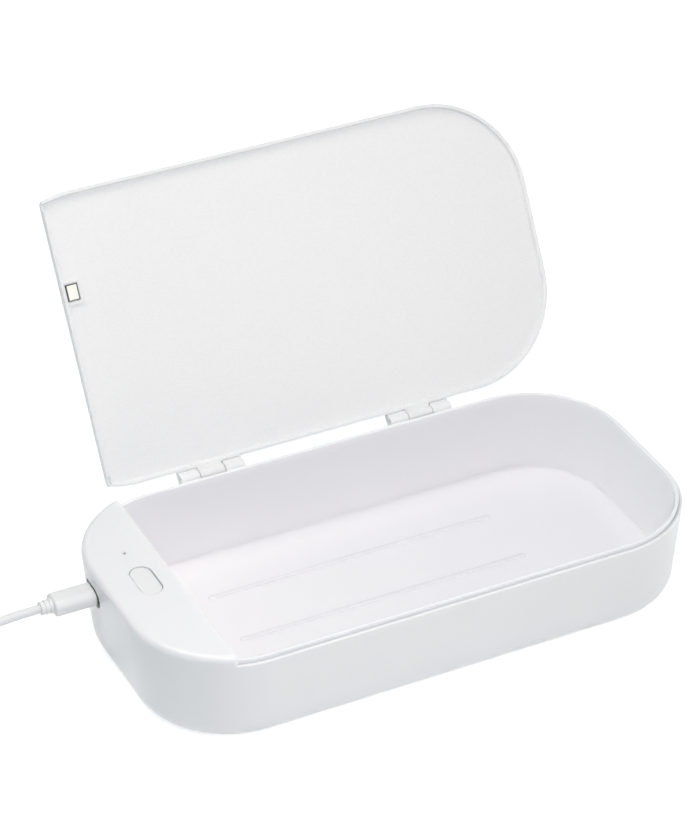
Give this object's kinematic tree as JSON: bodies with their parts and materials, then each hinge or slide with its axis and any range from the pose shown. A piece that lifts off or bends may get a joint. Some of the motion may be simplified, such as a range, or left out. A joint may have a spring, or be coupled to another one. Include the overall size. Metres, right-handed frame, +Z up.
{
  "type": "uv sanitizer box",
  "caption": "Flat sterilizing box for a phone: drafted case with a raised button panel at one end, inner tray, hinged lid and USB lead.",
  "frame": {"origin": "on the table under the middle of the case, between the feet", "axes": "+X along the case's length, away from the button panel; +Y towards the lid's hinges; +Z up; the lid stands fully open at rest"},
  "size_m": [0.3588, 0.1743, 0.1345],
  "materials": {
    "case_white": "semi-gloss white",
    "tray_white": "semi-gloss white",
    "lid_white": "semi-gloss white",
    "button_white": "satin white",
    "cream_pad": "satin cream",
    "pin_steel": "bright",
    "screw_steel": "zinc plated",
    "grey_rubber": "matte grey",
    "window_quartz": "clear",
    "board_green": "solder mask",
    "board_white": "white solder mask",
    "lamp_ceramic": "glazed",
    "chip_black": "matte black",
    "header_white": "nylon",
    "wire_red": "insulation",
    "light_clear": "clear acrylic",
    "socket_steel": "plated",
    "contact_black": "moulded",
    "cable_white": "soft white jacket",
    "plug_white": "satin white",
    "tie_white": "translucent white"
  },
  "bodies": {
    "base": {"outer_case": "case_white", "inner_tray": "tray_white", "bottom_cover": "case_white", "rubber_feet": "grey_rubber", "cover_screws": "screw_steel", "hinge_pin_left": "pin_steel", "hinge_pin_right": "pin_steel", "switch_body": "chip_black", "light_pipe": "light_clear", "status_light": "light_clear", "main_board": "board_green", "board_components": "chip_black", "lid_sensor": "chip_black", "main_board_screws": "screw_steel", "main_header": "header_white", "lamp_header": "header_white", "lamp_wires": "wire_red", "usb_socket_shell": "socket_steel", "usb_socket_tongue": "contact_black", "uv_window": "window_quartz", "uv_lamp_board": "board_white", "uv_lamps": "lamp_ceramic", "lamp_board_screws": "screw_steel", "plug_tip": "socket_steel", "plug_body": "plug_white", "plug_collar": "plug_white", "cable_lead": "cable_white", "cable_coil": "cable_white", "cable_tie": "tie_white", "cable_tail": "cable_white", "far_collar": "plug_white", "far_plug_body": "plug_white", "far_plug_shell": "socket_steel", "far_plug_insert": "plug_white"},
    "lid": {"lid": "lid_white", "lid_magnet": "cream_pad"},
    "button": {"power_button": "button_white", "switch_plunger": "chip_black"}
  },
  "joints": [
    {"name": "lid_hinge", "type": "hinge", "parent": "base", "child": "lid", "pos_m": [0, 0.0588, 0.0356], "axis": [1, 0, 0], "range_deg": [0, 120]},
    {"name": "button_press", "type": "slide", "parent": "base", "child": "button", "axis": [0, 0, -1], "range_m": [0, 0.0005], "stiffness_N_per_m": 600}
  ]
}
